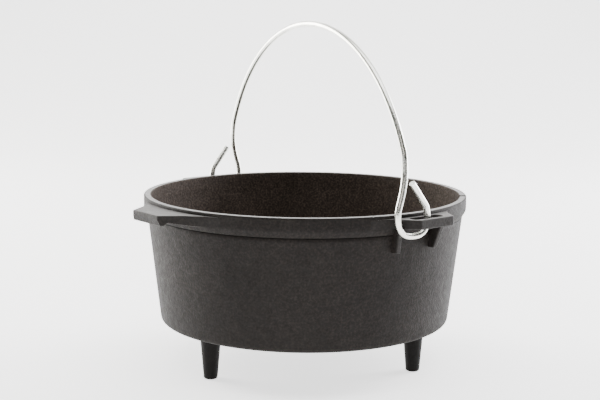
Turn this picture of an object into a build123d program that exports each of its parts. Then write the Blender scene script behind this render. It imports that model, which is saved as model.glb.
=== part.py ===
from build123d import *
import os
from math import cos, sin, sqrt, radians

os.makedirs("parts", exist_ok=True)

# ---------------------------------------------------------------- dimensions
# Cast iron camp dutch oven, open topped. Millimetres. Z is the axis of the pot,
# z = 0 is the floor the three feet stand on, the two bail ears lie on +X and -X
# and the lifting grip points to -Y. Everything is drawn about the pot's axis and
# then moved towards +Y, so that the origin is the middle of the footprint.

# pot
pot_axis_y = 13.46         # pot's axis from the middle of the footprint
rim_top = 173.2            # height of the rim's flat top
rim_radius = 162.0         # outside of the thick rim band
rim_inner = 154.4          # mouth
band_edge = 160.4          # lower end of the band's upright side
band_foot = 154.4          # where the band's sloped underside meets the wall
rim_round = 1.2            # softened edges of the band
wall_top_radius = 158.5    # outside of the wall at band_foot
wall_base_radius = 145.8   # outside of the wall at the pot's underside
pot_base = 45.8            # underside of the pot
wall_thickness = 4.8
floor_thickness = 6.2
base_round = 4.0           # outside corner between wall and underside
cove_radius = 9.0          # inside corner between wall and floor

# thermometer groove across the rim's top
groove_angle = 44.0
groove_width = 7.0
groove_depth = 4.2

# ears for the bail
ear_top = 170.2
ear_thickness = 8.8
ear_side = ((152.9, -53.5), (158.4, -37.8), (161.6, -31.2), (168.2, -26.2), (175.2, -21.2),
            (180.5, -15.5))
ear_far_side = ((180.5, 26.5), (160.0, 38.2), (155.6, 44.0))
ear_corner = 2.5
slot_near = -17.0          # end beside the bar that the bail's hook goes round
slot_far = 19.5
slot_inner = 164.4
slot_outer = 175.2
ear_edge_round = 1.0

# ribs under each ear
rib_offset = {"a": -25.0, "b": 22.0}
rib_thickness = 5.0
rib_foot = 138.5
rib_foot_reach = 161.8
rib_head_reach = {"a": 164.3, "b": 171.5}   # rib a stays behind the hook

# lifting grip, cast one degree off square to the ears like the legs
grip_turn = -1.0
grip_top = 170.2
grip_reach = 188.6
grip_side = ((21.3, -188.6), (36.0, -168.4), (44.5, -161.3), (53.0, -154.9), (63.6, -149.0))
grip_corner = 2.0
grip_tip_thickness = 6.8
grip_root_thickness = 9.6
grip_lip_width = 5.0
grip_lip_drop = 2.7          # below the tip's underside
grip_lip_face = 4.0          # upright part of the tip, above its leaning lower part
grip_lip_lean = 1.8

# legs
leg_circle = 116.4
leg_angles = (-91.0, 29.0, 149.0)
leg_foot_radius = 6.7
leg_mid_radius = 8.8
leg_mid_height = 25.0
leg_top_radius = 10.4
leg_foot_round = 2.2

# bail, one bent wire
wire_radius = 3.0
arch_radius = 181.3
arch_centre_z = 160.5
arch_turn = -9.8           # direction of the arch in plan, from +X
arch_end_angle = 23.4      # angle above the horizontal where the hooks begin
bail_shift = 4.4           # the wire sits this far towards +Y in its slots

# one hook below the end of the arch: (distance out, distance back, height),
# measured in the bail's own frame on the +X side
hook_points = (
    (165.9, 28.6, 224.5),
    (166.9, 28.9, 215.0),
    (167.5, 29.5, 208.0),
    (168.2, 31.6, 198.0),
    (168.8, 35.0, 187.5),
    (169.2, 38.2, 177.5),
    (169.2, 38.3, 170.5),
    (169.2, 36.4, 163.2),
    (169.2, 31.9, 157.6),
    (169.2, 25.4, 155.0),
    (169.2, 18.0, 154.3),
    (169.2, 11.2, 154.9),
    (169.2, 5.4, 158.0),
    (169.0, 2.0, 163.6),
    (168.9, 1.0, 170.5),
    (168.9, 2.3, 177.0),
    (168.9, 5.7, 183.4),
)
hook_tip = (168.9, 21.4, 202.4)


# ---------------------------------------------------------------- helpers
def ring(points):
    """Turn a closed radius-height outline about the pot's axis."""
    with BuildPart() as p:
        with BuildSketch(Plane.XZ):
            with BuildLine():
                Polyline(*points, close=True)
            make_face()
        revolve(axis=Axis.Z)
    return p.part


def plate(outline, z_low, z_high, corner=0.0, corner_points=()):
    """Upright prism with rounded upright edges at the given plan points."""
    with BuildPart() as p:
        with BuildSketch(Plane.XY.offset(z_low)):
            with BuildLine():
                Polyline(*outline, close=True)
            make_face()
            if corner:
                picked = [
                    v for v in vertices()
                    if any(abs(v.X - x) + abs(v.Y - y) < 0.01 for x, y in corner_points)
                ]
                fillet(picked, corner)
        extrude(amount=z_high - z_low)
    return p.part


def wall_radius(z):
    slope = (wall_top_radius - wall_base_radius) / (band_foot - pot_base)
    return wall_base_radius + slope * (z - pot_base)


def save(name, solid):
    solid = Pos(0, pot_axis_y, 0) * solid
    solid.label = name
    export_step(solid, f"parts/{name}.step")


# ---------------------------------------------------------------- pot
floor_top = pot_base + floor_thickness


def pot_floor():
    disc = ring([
        (0, pot_base),
        (wall_base_radius, pot_base),
        (wall_radius(floor_top), floor_top),
        (0, floor_top),
    ])
    rim = disc.edges().filter_by(GeomType.CIRCLE).sort_by(Axis.Z)[0]
    return fillet(rim, base_round)


def pot_wall():
    z0, z1 = floor_top, band_foot
    step = z0 + 0.4
    inner = [wall_radius(z) - wall_thickness for z in (z0, step, z1)]
    shell = ring([
        (inner[0] - cove_radius, z0),
        (wall_radius(z0), z0),
        (wall_radius(z1), z1),
        (inner[2], z1),
        (inner[1], step),
        (inner[0] - cove_radius, step),
    ])
    corner = [e for e in shell.edges().filter_by(GeomType.CIRCLE)
              if abs(e.center().Z - step) < 0.01 and abs(e.radius - inner[1]) < 0.01]
    return fillet(corner, cove_radius - 1.0)


def rim_band():
    low_inner = wall_radius(band_foot) - wall_thickness
    band = ring([
        (low_inner, band_foot),
        (wall_top_radius, band_foot),
        (rim_radius, band_edge),
        (rim_radius, rim_top),
        (rim_inner, rim_top),
    ])
    edges = band.edges().filter_by(GeomType.CIRCLE).group_by(Axis.Z)[-1]
    band = fillet(edges, rim_round)
    groove = Box(30, groove_width, 2 * groove_depth)
    groove = fillet(groove.edges().filter_by(Axis.X), 2.0)
    place = Rot(0, 0, groove_angle) * Pos((rim_radius + rim_inner) / 2, 0, rim_top)
    return band - place * groove


# ---------------------------------------------------------------- ears and ribs
def axis_distance(edge):
    return sqrt(edge.center().X ** 2 + edge.center().Y ** 2)


def clear_of_pot(solid):
    """Trim a solid back to the outside of the rim band and the wall."""
    body = ring([
        (0, pot_base),
        (wall_base_radius, pot_base),
        (wall_top_radius, band_foot),
        (rim_radius, band_edge),
        (rim_radius, rim_top + 5),
        (0, rim_top + 5),
    ])
    return solid - body


def bail_ear():
    outline = [(140, ear_side[0][1]), *ear_side, *ear_far_side, (140, ear_far_side[-1][1])]
    corners = [*ear_side[3:], ear_far_side[0]]
    ear = plate(outline, ear_top - ear_thickness, ear_top, ear_corner, corners)
    width, length = slot_outer - slot_inner, slot_far - slot_near
    with BuildPart() as cut:
        with BuildSketch(Plane.XY.offset(ear_top - 2 * ear_thickness)):
            with Locations(((slot_inner + slot_outer) / 2, (slot_near + slot_far) / 2)):
                RectangleRounded(width, length, radius=width / 2 - 1.0)
        extrude(amount=3 * ear_thickness)
    ear = clear_of_pot(ear) - cut.part
    faces = ear.edges().filter_by(Plane.XY).group_by(Axis.Z)
    outer = [e for g in (faces[0], faces[-1]) for e in g
             if axis_distance(e) > rim_radius + 3 and e.geom_type != GeomType.CIRCLE
             or e.center().X > slot_outer + 1]
    in_slot = [e for g in (faces[0], faces[-1]) for e in g
               if slot_inner - 0.5 < e.center().X < slot_outer + 0.5
               and slot_near - 0.5 < e.center().Y < slot_far + 0.5]
    picked = list({hash(e): e for e in outer + in_slot}.values())
    return fillet(picked, ear_edge_round)


def ear_rib(offset, head_reach):
    """Upright fin under an ear, blunt at its foot."""
    ear_low = ear_top - ear_thickness
    with BuildPart() as p:
        with BuildSketch(Plane.XZ.offset(rib_thickness / 2 - offset)):
            with BuildLine():
                Polyline((140, rib_foot), (rib_foot_reach, rib_foot), (head_reach, ear_low),
                         (140, ear_low), close=True)
            make_face()
        extrude(amount=-rib_thickness)
    rib = clear_of_pot(p.part)
    slope = [e for e in rib.edges() if e.length > 15 and e.center().X > 160
             and abs(e.center().Y - offset) > 1 and e.geom_type == GeomType.LINE
             and e.center().X > (rib_foot_reach + head_reach) / 2 - 0.5]
    return fillet(slope, 1.2) if slope else rib


# ---------------------------------------------------------------- grip
def grip():
    right = list(grip_side)
    left = [(-x, y) for x, y in reversed(right)]
    outline = [(-40, -120), *left, *right, (40, -120)]
    low = grip_top - grip_root_thickness
    block = plate(outline, low, grip_top, grip_corner, [left[-1], right[0]])
    # underside rises from the root to the tip, then drops to a lip whose outer face leans in
    lip_in = grip_reach - grip_lip_width
    tip_low = grip_top - grip_tip_thickness
    lip_low = tip_low - grip_lip_drop
    face_low = grip_top - grip_lip_face
    beyond = (face_low - lip_low) / grip_lip_lean
    with BuildPart() as under:
        with BuildSketch(Plane.YZ.offset(-60)):
            with BuildLine():
                Polyline((-rim_radius - 2.0, low - 1), (-rim_radius - 2.0, low),
                         (-lip_in + 2.5, tip_low), (-lip_in, lip_low),
                         (-grip_reach + grip_lip_lean, lip_low),
                         (-grip_reach - 1, face_low + beyond), (-grip_reach - 1, low - 1),
                         close=True)
            make_face()
        extrude(amount=120)
    block = clear_of_pot(block) - under.part
    top = block.edges().filter_by(Plane.XY).group_by(Axis.Z)[-1]
    rounded = [e for e in top if axis_distance(e) > rim_radius + 2]
    return fillet(rounded, 1.0)


# ---------------------------------------------------------------- legs
def leg(angle):
    shape = ring([
        (0, 0),
        (leg_foot_radius, 0),
        (leg_mid_radius, leg_mid_height),
        (leg_top_radius, pot_base),
        (0, pot_base),
    ])
    foot = shape.edges().filter_by(GeomType.CIRCLE).sort_by(Axis.Z)[0]
    shape = fillet(foot, leg_foot_round)
    x, y = leg_circle * cos(radians(angle)), leg_circle * sin(radians(angle))
    return Pos(x, y, 0) * shape


# ---------------------------------------------------------------- bail
def arch_point(angle):
    """Point on the arch's centre line, angle in degrees above the +X end."""
    reach = arch_radius * cos(radians(angle))
    turn = radians(arch_turn)
    return Vector(reach * cos(turn), reach * sin(turn),
                  arch_centre_z + arch_radius * sin(radians(angle)))


def bail_arch():
    ends = [arch_point(a) for a in (arch_end_angle, 90, 180 - arch_end_angle)]
    path = Edge.make_three_point_arc(*ends)
    start = Plane(origin=ends[0], z_dir=path.tangent_at(0))
    arch = sweep(start * Circle(wire_radius), path=path)
    return Pos(0, bail_shift, 0) * arch


def bail_hook():
    start = arch_point(arch_end_angle)
    ahead = arch_point(arch_end_angle + 0.01)
    points = [start] + [Vector(x, -t, z) for x, t, z in hook_points]
    tip = Vector(hook_tip[0], -hook_tip[1], hook_tip[2])
    bend = Edge.make_spline(points, tangents=[start - ahead, tip - points[-1]])
    straight = Edge.make_line(points[-1], tip)
    path = Wire([bend, straight])
    section = Plane(origin=start, z_dir=path.tangent_at(0))
    hook = sweep(section * Circle(wire_radius), path=path)
    return Pos(0, bail_shift, 0) * hook


# ---------------------------------------------------------------- build
save("pot_floor", pot_floor())
save("pot_wall", pot_wall())
save("rim_band", rim_band())
save("lifting_grip", Rot(0, 0, grip_turn) * grip())

half_turn = Rot(0, 0, 180)
for name, place in (("right", Rot(0, 0, 0)), ("left", half_turn)):
    save(f"bail_ear_{name}", place * bail_ear())
    save(f"ear_rib_{name}_a", place * ear_rib(rib_offset["a"], rib_head_reach["a"]))
    save(f"ear_rib_{name}_b", place * ear_rib(rib_offset["b"], rib_head_reach["b"]))

for number, angle in enumerate(leg_angles, start=1):
    save(f"leg_{number}", leg(angle))

save("bail_arch", bail_arch())
hook = bail_hook()
save("bail_hook_right", hook)
save("bail_hook_left", Pos(0, 2 * bail_shift, 0) * (half_turn * hook))
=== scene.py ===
import bmesh
import bpy
from math import cos, pi, radians, sin
from mathutils import Matrix, Vector


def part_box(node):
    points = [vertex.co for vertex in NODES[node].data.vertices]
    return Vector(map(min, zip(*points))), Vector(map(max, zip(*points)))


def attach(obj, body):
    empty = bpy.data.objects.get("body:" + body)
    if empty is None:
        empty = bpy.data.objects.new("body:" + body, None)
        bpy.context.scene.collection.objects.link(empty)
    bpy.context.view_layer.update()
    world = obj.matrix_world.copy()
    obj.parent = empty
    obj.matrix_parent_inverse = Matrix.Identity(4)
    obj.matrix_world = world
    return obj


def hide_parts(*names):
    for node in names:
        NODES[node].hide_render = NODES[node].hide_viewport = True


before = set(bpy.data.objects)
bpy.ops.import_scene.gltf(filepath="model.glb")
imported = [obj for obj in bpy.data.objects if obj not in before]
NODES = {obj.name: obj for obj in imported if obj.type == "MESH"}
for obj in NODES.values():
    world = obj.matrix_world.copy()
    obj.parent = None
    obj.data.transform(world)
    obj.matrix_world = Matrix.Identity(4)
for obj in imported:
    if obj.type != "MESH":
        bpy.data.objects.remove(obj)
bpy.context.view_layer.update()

# ------------------------------------------------------------------ measures, metres
WIRE_NODES = ("bail_arch", "bail_hook_right", "bail_hook_left")

band_lo, band_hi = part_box("rim_band")
floor_lo, floor_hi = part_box("pot_floor")
AXIS_X = (band_lo[0] + band_hi[0]) / 2
AXIS_Y = (band_lo[1] + band_hi[1]) / 2
RIM_R = (band_hi[0] - band_lo[0]) / 2
RIM_TOP = band_hi[2]
BAND_FOOT = band_lo[2]
BAND_EDGE = BAND_FOOT + 0.006      # top of the band's sloped underside
FLOOR_TOP = floor_hi[2]
POT_BASE = floor_lo[2]

RIM_WIDTH = 0.0076
RIM_IN = RIM_R - RIM_WIDTH
EDGE_R = 0.0012                    # rounding of the rim's two edges
WALL_TOP_R = 0.1585
WALL_BASE_R = 0.1458
WALL_T = 0.0048
COVE_R = 0.009
BASE_R = 0.0042
CREASE_HALF = 0.0005
CREASE_DEPTH = 0.0006
GROOVE_ANGLE = radians(44.0)
GROOVE_HALF = 0.0035
GROOVE_DEPTH = 0.0042
GROOVE_EASE = 0.0010               # width of the groove's rounded shoulder
GROOVE_EASE_START = 0.0007

# material detail
BLOTCH_SCALE = 14
SWELL_SCALE = 34                   # slow unevenness of the casting
PEEL_SHARE = 0.36                  # scale of the coarse grain, as a share of the fine grain's
SPECK = [(0.34, (0.45, 0.44, 0.43)), (0.5, (0.9, 0.89, 0.88)), (0.68, (1.75, 1.72, 1.68))]
WORN_COLOUR = (0.27, 0.262, 0.252)
# painted highlight: upward faces of the fittings are lightened towards this colour, in place of light
# from above
PAINTED_TOP_HIGHLIGHT_COLOUR = (0.13, 0.126, 0.122)


# ------------------------------------------------------------------ node helpers
def surface(name):
    """A new material: its node tree and its Principled shader, joined to the output."""
    mat = bpy.data.materials.new(name)
    mat.use_nodes = True
    nt = mat.node_tree
    nt.nodes.clear()
    out = nt.nodes.new("ShaderNodeOutputMaterial")
    bsdf = nt.nodes.new("ShaderNodeBsdfPrincipled")
    nt.links.new(bsdf.outputs[0], out.inputs["Surface"])
    return mat, nt, bsdf


def add(nt, kind, **props):
    node = nt.nodes.new(kind)
    for key, value in props.items():
        setattr(node, key, value)
    return node


def noise(nt, vec, scale, detail=3.0, rough=0.55, distortion=0.0):
    n = add(nt, "ShaderNodeTexNoise")
    n.inputs["Scale"].default_value = scale
    n.inputs["Detail"].default_value = detail
    n.inputs["Roughness"].default_value = rough
    n.inputs["Distortion"].default_value = distortion
    nt.links.new(vec, n.inputs["Vector"])
    return n.outputs["Fac"]


def ramp(nt, fac, stops):
    r = add(nt, "ShaderNodeValToRGB")
    ends = r.color_ramp.elements
    for end, (place, colour) in ((ends[0], stops[0]), (ends[1], stops[-1])):
        end.position = place
        end.color = (*colour, 1)
    for place, colour in stops[1:-1]:
        ends.new(place).color = (*colour, 1)
    nt.links.new(fac, r.inputs["Fac"])
    return r.outputs["Color"]


def span(nt, value, low, high, to_low, to_high):
    """Map low..high to to_low..to_high, held at the ends."""
    m = add(nt, "ShaderNodeMapRange", clamp=True)
    for key, v in (("From Min", low), ("From Max", high), ("To Min", to_low), ("To Max", to_high)):
        m.inputs[key].default_value = v
    nt.links.new(value, m.inputs["Value"])
    return m.outputs["Result"]


def mix(nt, fac, a, b, mode="MIX"):
    """Blend two colours; each input is a node's output or a plain value."""
    m = add(nt, "ShaderNodeMix", data_type="RGBA", blend_type=mode)
    for sock, v in ((m.inputs[0], fac), (m.inputs[6], a), (m.inputs[7], b)):
        if hasattr(v, "name"):
            nt.links.new(v, sock)
        elif isinstance(v, tuple):
            sock.default_value = (*v, 1)
        else:
            sock.default_value = v
    return m.outputs[2]


def product(nt, a, b):
    m = add(nt, "ShaderNodeMath", operation="MULTIPLY")
    nt.links.new(a, m.inputs[0])
    nt.links.new(b, m.inputs[1])
    return m.outputs[0]


def bump(nt, height, strength, distance, normal=None):
    b = add(nt, "ShaderNodeBump")
    b.inputs["Strength"].default_value = strength
    b.inputs["Distance"].default_value = distance
    nt.links.new(height, b.inputs["Height"])
    if normal is not None:
        nt.links.new(normal, b.inputs["Normal"])
    return b.outputs["Normal"]


# ------------------------------------------------------------------ materials
def crisp_edges(nt, geo, co, amount):
    """Mask of a fitting's exposed sharp edges, which stops where it runs out into the band."""
    bevel = add(nt, "ShaderNodeBevel", samples=4)
    bevel.inputs["Radius"].default_value = 0.0012
    turn = add(nt, "ShaderNodeVectorMath", operation="DOT_PRODUCT")
    nt.links.new(bevel.outputs[0], turn.inputs[0])
    nt.links.new(geo.outputs["True Normal"], turn.inputs[1])
    near = span(nt, turn.outputs["Value"], 0.985, 0.86, 0.0, amount)
    from_axis = add(nt, "ShaderNodeVectorMath", operation="DISTANCE")
    nt.links.new(co, from_axis.inputs[0])
    from_axis.inputs[1].default_value = (AXIS_X, AXIS_Y, RIM_TOP)
    clear = span(nt, from_axis.outputs["Value"], RIM_R + 0.003, RIM_R + 0.006, 0.0, 1.0)
    return product(nt, near, clear)


def iron(name, dark, light, rough, grain, peel, scale, sheen, worn=0.0, worn_fitting=0.0, top=0.0):
    """Seasoned sand-cast iron: fine grain, soft blotches, paler worn edges, and upward faces
    lightened as a painted highlight.
    """
    mat, nt, bsdf = surface(name)
    bsdf.inputs["Specular IOR Level"].default_value = sheen
    co = add(nt, "ShaderNodeTexCoord").outputs["Object"]
    geo = add(nt, "ShaderNodeNewGeometry")
    fine = noise(nt, co, scale)
    coarse = noise(nt, co, scale * PEEL_SHARE, rough=0.6)
    blotch = noise(nt, co, BLOTCH_SCALE, 4, 0.6, 0.4)
    colour = ramp(nt, blotch, [(0.3, dark), (0.75, light)])
    colour = mix(nt, 0.85, colour, ramp(nt, fine, SPECK), "MULTIPLY")
    if worn:
        edges = span(nt, geo.outputs["Pointiness"], 0.512, 0.58, 0.0, worn)
        colour = mix(nt, edges, colour, WORN_COLOUR)
    if worn_fitting:
        colour = mix(nt, crisp_edges(nt, geo, co, worn_fitting), colour, WORN_COLOUR)
    # painted highlight: faces turned upward are lightened, as light from above would do
    if top:
        facing = add(nt, "ShaderNodeSeparateXYZ")
        nt.links.new(geo.outputs["True Normal"], facing.inputs[0])
        painted_top_highlight = span(nt, facing.outputs["Z"], 0.75, 0.97, 0.0, top)
        colour = mix(nt, painted_top_highlight, colour, PAINTED_TOP_HIGHLIGHT_COLOUR)
    nt.links.new(colour, bsdf.inputs["Base Color"])
    nt.links.new(span(nt, coarse, 0.3, 0.7, rough - 0.07, rough + 0.08), bsdf.inputs["Roughness"])
    swell = bump(nt, noise(nt, co, SWELL_SCALE, 2, 0.5), 0.08, 0.0012)
    peeled = bump(nt, coarse, peel, 0.0009, swell)
    nt.links.new(bump(nt, fine, grain, 0.0005, peeled), bsdf.inputs["Normal"])
    return mat


def plated_wire():
    """Bright plated steel wire with scuffs and fine marks."""
    mat, nt, bsdf = surface("plated wire")
    bsdf.inputs["Metallic"].default_value = 1.0
    co = add(nt, "ShaderNodeTexCoord").outputs["Object"]
    blotch = noise(nt, co, 70, rough=0.6)
    fine = noise(nt, co, 900, rough=0.6)
    colour = ramp(nt, blotch, [(0.3, (0.70, 0.70, 0.65)), (0.7, (0.93, 0.93, 0.88))])
    scuff = ramp(nt, fine, [(0.3, (0.62, 0.62, 0.59)), (0.46, (1.0, 1.0, 1.0))])
    nt.links.new(mix(nt, 0.8, colour, scuff, "MULTIPLY"), bsdf.inputs["Base Color"])
    nt.links.new(span(nt, fine, 0.3, 0.7, 0.16, 0.34), bsdf.inputs["Roughness"])
    dents = bump(nt, blotch, 0.2, 0.0009)
    nt.links.new(bump(nt, fine, 0.22, 0.0002, dents), bsdf.inputs["Normal"])
    return mat


def pale_floor():
    mat, nt, bsdf = surface("pale floor")
    bsdf.inputs["Base Color"].default_value = (0.95, 0.95, 0.95, 1)
    bsdf.inputs["Roughness"].default_value = 0.9
    bsdf.inputs["Specular IOR Level"].default_value = 0.1
    bsdf.inputs["Emission Color"].default_value = (1, 1, 1, 1)
    bsdf.inputs["Emission Strength"].default_value = 1.7
    return mat


OUTSIDE = iron("iron outside", (0.0058, 0.0044, 0.0036), (0.0105, 0.0083, 0.0070),
               rough=0.62, grain=0.9, peel=0.2, scale=470.0, sheen=0.15)
# the rim face's much paler copy of the iron is partly ground metal and partly a painted highlight for
# light grazing the rim top
RIM_FACE_GROUND_AND_HIGHLIGHT = iron("iron rim face", (0.075, 0.071, 0.067), (0.12, 0.115, 0.11),
           rough=0.4, grain=0.3, peel=0.15, scale=760.0, sheen=0.45, worn=0.3)
# painted shade: a near-black copy of the iron for the crease under the band, where shadow falls
CREASE_PAINTED_SHADE = iron("iron crease", (0.003, 0.0025, 0.002), (0.005, 0.0042, 0.0037),
              rough=0.8, grain=0.3, peel=0.2, scale=760.0, sheen=0.1)
INSIDE = iron("iron inside", (0.033, 0.025, 0.0195), (0.055, 0.0425, 0.035),
              rough=0.72, grain=1.0, peel=0.4, scale=520.0, sheen=0.12)
# the fittings carry the painted top highlight (top=1.0)
FITTINGS = iron("iron fittings", (0.0050, 0.0037, 0.0030), (0.0110, 0.0086, 0.0073),
                rough=0.55, grain=0.8, peel=0.25, scale=470.0, sheen=0.2, worn_fitting=0.3, top=1.0)
# painted shade: the legs get a darker copy of the iron, for the shade under the pot
LEGS_PAINTED_SHADE = iron("iron legs", (0.0022, 0.0017, 0.0014), (0.0048, 0.0039, 0.0034),
            rough=0.5, grain=0.6, peel=0.25, scale=760.0, sheen=0.1)
PLATE = plated_wire()


def node_material(name):
    if name in WIRE_NODES:
        return PLATE
    # legs take the darker painted-shade iron
    return LEGS_PAINTED_SHADE if name.startswith("leg") else FITTINGS


for name, node in NODES.items():
    node.data.materials.clear()
    node.data.materials.append(node_material(name))


# ------------------------------------------------------------------ pot, lathe-turned
def arc(centre_r, centre_z, radius, start, end, steps):
    """Radius and height of points on an arc, angles in degrees."""
    angles = [radians(start + (end - start) * i / steps) for i in range(steps + 1)]
    return [(centre_r + radius * cos(a), centre_z + radius * sin(a)) for a in angles]


def wall_r(z):
    return WALL_BASE_R + (WALL_TOP_R - WALL_BASE_R) * (z - POT_BASE) / (BAND_FOOT - POT_BASE)


def inner_r(z):
    """The wall's inside below the band, then a straight run to the mouth."""
    if z < BAND_FOOT:
        return wall_r(z) - WALL_T
    foot = wall_r(BAND_FOOT) - WALL_T
    return foot + (RIM_IN - foot) * (z - BAND_FOOT) / (RIM_TOP - BAND_FOOT)


def rising(radius, z0, z1, steps):
    return [(radius(z), z) for z in (z0 + (z1 - z0) * i / steps for i in range(steps + 1))]


def pot_outline():
    """(material, points) stretches from the middle of the underside, over the rim, to the inside."""
    under = [(r, POT_BASE) for r in (0.0, 0.05, 0.10, 0.125, 0.137)]
    under += arc(WALL_BASE_R - 0.0038, POT_BASE + BASE_R, BASE_R, -88, -6, 8)
    wall = rising(wall_r, POT_BASE + 0.006, BAND_FOOT - CREASE_HALF, 26)
    # the crease's faces get the near-black painted-shade material
    crease = [(WALL_TOP_R - CREASE_DEPTH, BAND_FOOT), (WALL_TOP_R + 0.0004, BAND_FOOT + CREASE_HALF)]
    band = [(WALL_TOP_R + 0.0018, BAND_FOOT + 0.003), (RIM_R - 0.0004, BAND_EDGE - 0.0006),
            (RIM_R, BAND_EDGE + 0.0006), (RIM_R, BAND_EDGE + 0.004), (RIM_R, RIM_TOP - 0.004)]
    band += arc(RIM_R - EDGE_R, RIM_TOP - EDGE_R, EDGE_R, 0, 90, 6)
    rim = [(RIM_R - 0.0028, RIM_TOP), (RIM_R - 0.0048, RIM_TOP), (RIM_IN + EDGE_R, RIM_TOP)]
    inside = arc(RIM_IN + EDGE_R, RIM_TOP - EDGE_R, EDGE_R, 100, 180, 6)
    inside += rising(inner_r, RIM_TOP - 0.003, FLOOR_TOP + COVE_R, 30)
    inside += arc(inner_r(FLOOR_TOP + COVE_R) - COVE_R, FLOOR_TOP + COVE_R, COVE_R, -6, -90, 10)
    inside += [(r, FLOOR_TOP) for r in (0.12, 0.09, 0.05, 0.0)]
    return [(OUTSIDE, under + wall), (CREASE_PAINTED_SHADE, crease), (OUTSIDE, band), (RIM_FACE_GROUND_AND_HIGHLIGHT, rim), (INSIDE, inside)]


def around():
    """Angles of the lathe's columns, with extra ones across the groove."""
    count = 360
    angles = {round(2 * pi * i / count, 6) for i in range(count)}
    angles |= {round(GROOVE_ANGLE + k * 0.0004 / RIM_R, 6) for k in range(-14, 15)}
    return sorted(angles)


def eased(x):
    x = max(0.0, min(1.0, x))
    return x * x * (3 - 2 * x)


def grooved(r, z, angle):
    """Height of an outline point once the thermometer groove is pressed into the rim."""
    if r < RIM_IN - 0.001 or z < RIM_TOP - GROOVE_DEPTH - 0.0005:
        return z
    off = abs(angle - GROOVE_ANGLE) * RIM_R
    rise = eased((off - GROOVE_HALF + GROOVE_EASE_START) / GROOVE_EASE)
    return min(z, RIM_TOP - GROOVE_DEPTH * (1 - rise))


def to_object(bm, name, materials):
    """Write a bmesh to a new object in the scene and free it."""
    mesh = bpy.data.meshes.new(name)
    bm.to_mesh(mesh)
    bm.free()
    for m in materials:
        mesh.materials.append(m)
    obj = bpy.data.objects.new(name, mesh)
    bpy.context.scene.collection.objects.link(obj)
    return obj


def pot_piece():
    slots = [OUTSIDE, CREASE_PAINTED_SHADE, RIM_FACE_GROUND_AND_HIGHLIGHT, INSIDE]
    angles = around()
    count = len(angles)
    bm = bmesh.new()
    rows = []
    for material, points in pot_outline():
        for r, z in points:
            columns = angles if r > 0.0 else [0.0]
            ring = [bm.verts.new((AXIS_X + r * cos(a), AXIS_Y + r * sin(a), grooved(r, z, a)))
                    for a in columns]
            rows.append((slots.index(material), ring))
    for (_, low), (slot, high) in zip(rows, rows[1:]):
        for j in range(count):
            k = (j + 1) % count
            corners = [low[j % len(low)], low[k % len(low)], high[k % len(high)], high[j % len(high)]]
            face = bm.faces.new(list(dict.fromkeys(corners)))
            face.smooth = True
            face.material_index = slot
    bmesh.ops.recalc_face_normals(bm, faces=bm.faces)
    return to_object(bm, "pot_visual", slots)


pot = pot_piece()
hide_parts("pot_floor", "pot_wall", "rim_band")
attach(pot, "pot")

# ------------------------------------------------------------------ floor and backdrop
AZIMUTH = radians(50.0)            # the camera's, so the stage and the lights face it
RIGHT = Vector((cos(AZIMUTH), sin(AZIMUTH), 0))
AHEAD = Vector((-sin(AZIMUTH), cos(AZIMUTH), 0))
UP = Vector((0, 0, 1))
POT = Vector((AXIS_X, AXIS_Y, 0))

STAGE_HALF = 6.0
STAGE_FRONT = 5.0
STAGE_FLAT = 1.6                   # flat floor behind the pot, before the backdrop's curve
STAGE_CURVE = 1.2
STAGE_TOP = 5.0
STAGE_STEPS = 12


def place(right, ahead, up):
    """A point by its distances from the foot of the pot's axis, as the camera faces it."""
    return POT + RIGHT * right + AHEAD * ahead + UP * up


def stage_side(right):
    """One long edge of the stage: flat floor, quarter-round, upright backdrop."""
    edge = [place(right, -STAGE_FRONT, 0), place(right, STAGE_FLAT, 0)]
    for i in range(1, STAGE_STEPS + 1):
        a = radians(90 * i / STAGE_STEPS)
        edge.append(place(right, STAGE_FLAT + STAGE_CURVE * sin(a), STAGE_CURVE * (1 - cos(a))))
    edge.append(place(right, STAGE_FLAT + STAGE_CURVE, STAGE_TOP))
    return edge


def stage():
    bm = bmesh.new()
    left, right = [[bm.verts.new(p) for p in stage_side(s)] for s in (-STAGE_HALF, STAGE_HALF)]
    for i in range(len(left) - 1):
        bm.faces.new((left[i], right[i], right[i + 1], left[i + 1])).smooth = True
    return to_object(bm, "floor", [pale_floor()])


stage()


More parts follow.
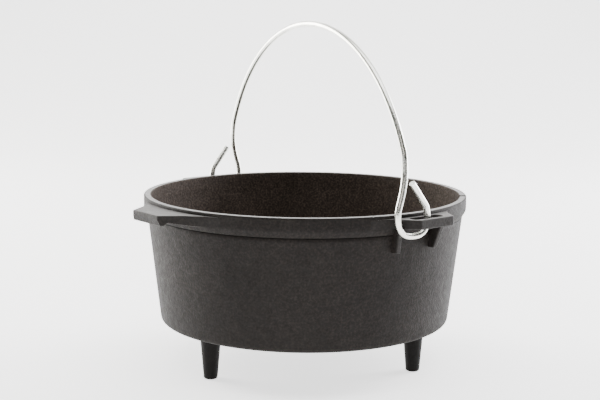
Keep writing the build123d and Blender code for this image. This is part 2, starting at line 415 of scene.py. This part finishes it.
# ------------------------------------------------------------------ light
def softbox(name, where, aim, size, watts, colour=(1, 1, 1)):
    data = bpy.data.lights.new(name, "AREA")
    data.shape = "RECTANGLE"
    data.size, data.size_y = size
    data.energy = watts
    data.color = colour
    box = bpy.data.objects.new(name, data)
    box.location = place(*where)
    box.rotation_euler = (place(*aim) - place(*where)).to_track_quat("-Z", "Y").to_euler()
    bpy.context.scene.collection.objects.link(box)


softbox("top", (0, -0.3, 2.2), (0, 0.1, 0.1), (2.4, 1.8), 60)
softbox("left", (-1.9, 1.0, 0.75), (0, 0, 0.15), (1.2, 1.6), 100, (1.0, 0.97, 0.92))
softbox("right", (1.9, 1.0, 0.75), (0, 0, 0.15), (1.2, 1.6), 105, (0.985, 0.97, 1.0))
softbox("front", (-0.5, -2.6, 1.5), (0, 0, 0.15), (1.6, 1.0), 9, (1.0, 0.94, 0.88))

world = bpy.data.worlds.new("studio")
bpy.context.scene.world = world
world.use_nodes = True
sky = world.node_tree.nodes["Background"]
sky.inputs["Color"].default_value = (0.95, 0.92, 0.88, 1)
sky.inputs["Strength"].default_value = 0.10

# ------------------------------------------------------------------ camera
PITCH = 0.1526                     # radians down from level
YAW = -0.0042
ROLL = 0.0073
CAMERA_DISTANCE = 1.2
CAMERA_HEIGHT = 0.34954
LENS_MM = 71.845
SENSOR_MM = 36.0


def camera_matrix():
    ahead = (RIGHT * sin(YAW) + AHEAD * cos(YAW)) * cos(PITCH) - UP * sin(PITCH)
    level = RIGHT * cos(YAW) - AHEAD * sin(YAW)
    over = level.cross(ahead)
    right = level * cos(ROLL) + over * sin(ROLL)
    up = over * cos(ROLL) - level * sin(ROLL)
    matrix = Matrix((right, up, -ahead)).transposed().to_4x4()
    matrix.translation = place(0, -CAMERA_DISTANCE, CAMERA_HEIGHT)
    return matrix


lens = bpy.data.cameras.new("camera")
lens.sensor_fit = "HORIZONTAL"
lens.sensor_width = SENSOR_MM
lens.lens = LENS_MM
camera = bpy.data.objects.new("camera", lens)
camera.matrix_world = camera_matrix()
bpy.context.scene.collection.objects.link(camera)
bpy.context.scene.camera = camera
